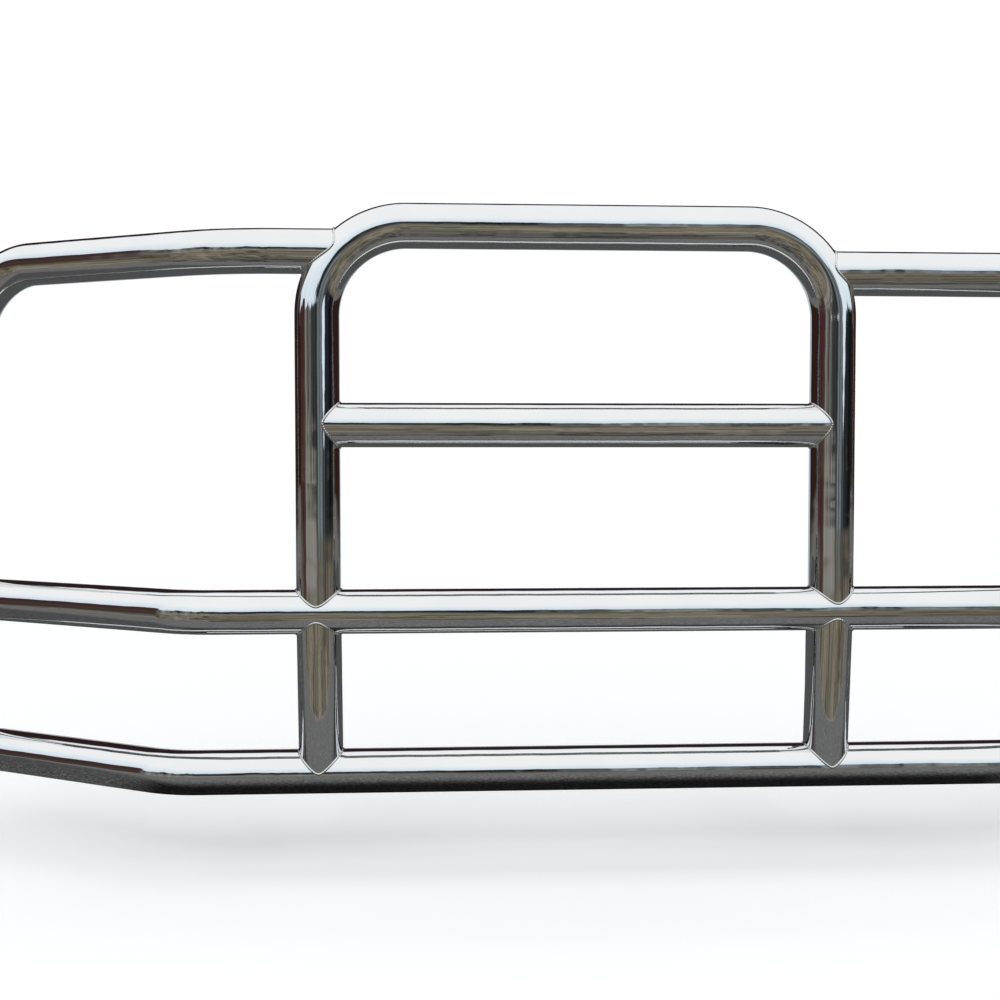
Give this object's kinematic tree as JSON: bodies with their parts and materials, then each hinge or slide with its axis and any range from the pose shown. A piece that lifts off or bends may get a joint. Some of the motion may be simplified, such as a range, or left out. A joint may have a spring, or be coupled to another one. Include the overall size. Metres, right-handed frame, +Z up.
{
  "type": "front grille guard",
  "caption": "Polished round-tube front grille guard for a heavy truck, with an arched centre hoop and swept-back wings, hinged to frame brackets so that it tilts forward.",
  "frame": {"origin": "on the truck's centre plane, midway between the bolt patterns of the two frame brackets, which hold the part up", "axes": "+X to the right as seen from in front, across the truck; +Y back towards the truck; +Z up"},
  "size_m": [2.3639, 0.2964, 1.0295],
  "materials": {
    "polished_tube": "polished",
    "black_plate": "matte",
    "black_nylon": "satin",
    "black_rubber": "matte",
    "zinc_plated": "satin"
  },
  "bodies": {
    "brackets": {"frame_bracket_left": "black_plate", "frame_bracket_right": "black_plate", "pivot_pin_left": "zinc_plated", "pivot_pin_right": "zinc_plated", "pin_washer_left": "zinc_plated", "pin_washer_right": "zinc_plated", "pin_clip_left": "zinc_plated", "pin_clip_right": "zinc_plated", "stop_bolt_left": "zinc_plated", "stop_bolt_right": "zinc_plated", "stop_sleeve_left": "zinc_plated", "stop_sleeve_right": "zinc_plated", "stop_nut_left": "zinc_plated", "stop_nut_right": "zinc_plated"},
    "guard": {"centre_hoop": "polished_tube", "crossbar": "polished_tube", "mid_rail": "polished_tube", "bottom_rail": "polished_tube", "lower_post_left": "polished_tube", "lower_post_right": "polished_tube", "wing_tube_left": "polished_tube", "wing_tube_right": "polished_tube", "wing_post_left": "polished_tube", "wing_post_right": "polished_tube", "mid_rail_cap_left": "polished_tube", "mid_rail_cap_right": "polished_tube", "bottom_rail_cap_left": "polished_tube", "bottom_rail_cap_right": "polished_tube", "mounting_lug_left": "black_plate", "mounting_lug_right": "black_plate", "pivot_bush_left": "black_nylon", "pivot_bush_right": "black_nylon", "clamp_stud_left": "zinc_plated", "clamp_stud_right": "zinc_plated", "clamp_pad_left": "black_rubber", "clamp_pad_right": "black_rubber"},
    "left_washer": {"clamp_washer_left": "zinc_plated"},
    "left_handle": {"clamp_handle_left": "zinc_plated", "handle_knobs_left": "black_nylon"},
    "right_washer": {"clamp_washer_right": "zinc_plated"},
    "right_handle": {"clamp_handle_right": "zinc_plated", "handle_knobs_right": "black_nylon"}
  },
  "joints": [
    {"name": "guard_tilt", "type": "hinge", "parent": "brackets", "child": "guard", "pos_m": [0, -0.07, -0.1445], "axis": [1, 0, 0], "range_deg": [0, 80]},
    {"name": "left_clamp_travel", "type": "slide", "parent": "guard", "child": "left_washer", "axis": [-1, 0, 0], "range_m": [0, 0.001]},
    {"name": "left_handle_turn", "type": "hinge", "parent": "left_washer", "child": "left_handle", "pos_m": [-0.503, -0.07, 0.1305], "axis": [-1, 0, 0], "range_deg": [0, 180]},
    {"name": "right_clamp_travel", "type": "slide", "parent": "guard", "child": "right_washer", "axis": [1, 0, 0], "range_m": [0, 0.001]},
    {"name": "right_handle_turn", "type": "hinge", "parent": "right_washer", "child": "right_handle", "pos_m": [0.503, -0.07, 0.1305], "axis": [1, 0, 0], "range_deg": [0, 180]}
  ],
  "couplings": [
    {"joint": "left_handle_turn", "follows": "left_clamp_travel", "rad_per_m": 3141.6},
    {"joint": "right_handle_turn", "follows": "right_clamp_travel", "rad_per_m": 3141.6}
  ]
}
